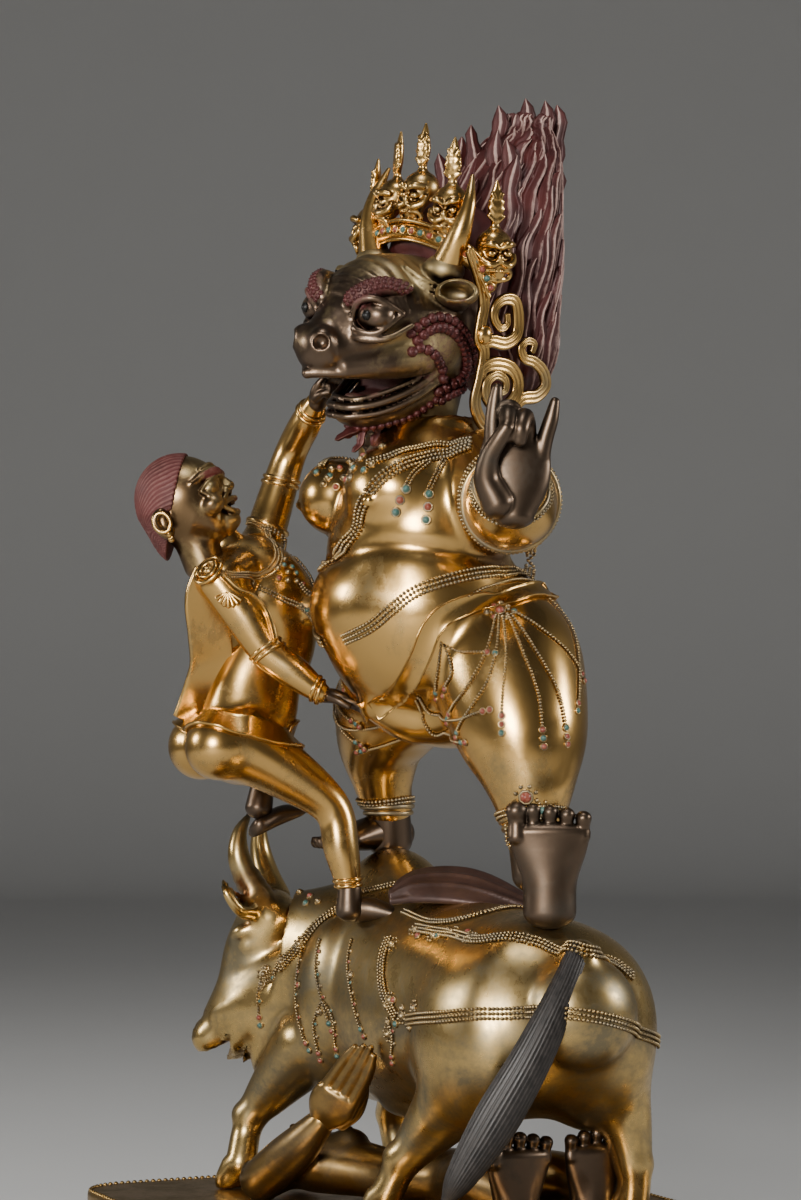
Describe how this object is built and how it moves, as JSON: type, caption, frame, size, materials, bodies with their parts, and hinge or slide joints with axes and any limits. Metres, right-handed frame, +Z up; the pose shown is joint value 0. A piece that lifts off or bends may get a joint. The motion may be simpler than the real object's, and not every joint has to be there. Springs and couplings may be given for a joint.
{
  "type": "yama statue",
  "caption": "Gilt bronze bull-headed guardian with a consort, standing on a buffalo over a lying figure on a low petalled base.",
  "frame": {"origin": "centre of the plinth's underside", "axes": "+Z up; the guardian and the plinth's long front side face -Y; the buffalo's head is towards -X"},
  "size_m": [0.3602, 0.292, 0.6818],
  "materials": {
    "plinth_gilt": "worn gilding over bronze, dull in the hollows",
    "buffalo_gilt": "polished gilding, greyed by wear",
    "tail_iron": "near black, combed",
    "hide_red": "dark red brown paint over bronze",
    "figure_gilt": "worn gilding over dark bronze",
    "yama_gilt": "mirror polished gilding with dusty ornament",
    "dark_bronze": "dark brown patina with bright worn high spots",
    "face_bronze": "dark brown patina with red pigment left in the brows and fringe",
    "horn_gilt": "polished gilding",
    "hair_red": "dark red pigment, rubbed pale on the ridges",
    "crown_gilt": "worn gilding, dusty in the hollows",
    "consort_gilt": "polished gilding with dusty ornament"
  },
  "bodies": {
    "root": {"plinth": "plinth_gilt", "buffalo": "buffalo_gilt", "buffalo_tail": "tail_iron", "saddle_hide": "hide_red", "fallen_figure": "figure_gilt", "yama_body": "yama_gilt", "yama_left_hand": "dark_bronze", "yama_right_hand": "dark_bronze", "yama_left_foot": "dark_bronze", "yama_right_foot": "dark_bronze", "yama_head": "face_bronze", "yama_left_horn": "horn_gilt", "yama_right_horn": "horn_gilt", "yama_hair": "hair_red", "yama_crown": "crown_gilt", "yama_left_ribbon": "crown_gilt", "yama_right_ribbon": "crown_gilt", "consort_body": "consort_gilt", "consort_head": "face_bronze", "consort_right_foot": "dark_bronze", "consort_left_foot": "dark_bronze", "consort_right_hand": "dark_bronze", "consort_left_hand": "dark_bronze", "consort_scarf": "consort_gilt"}
  },
  "joints": []
}
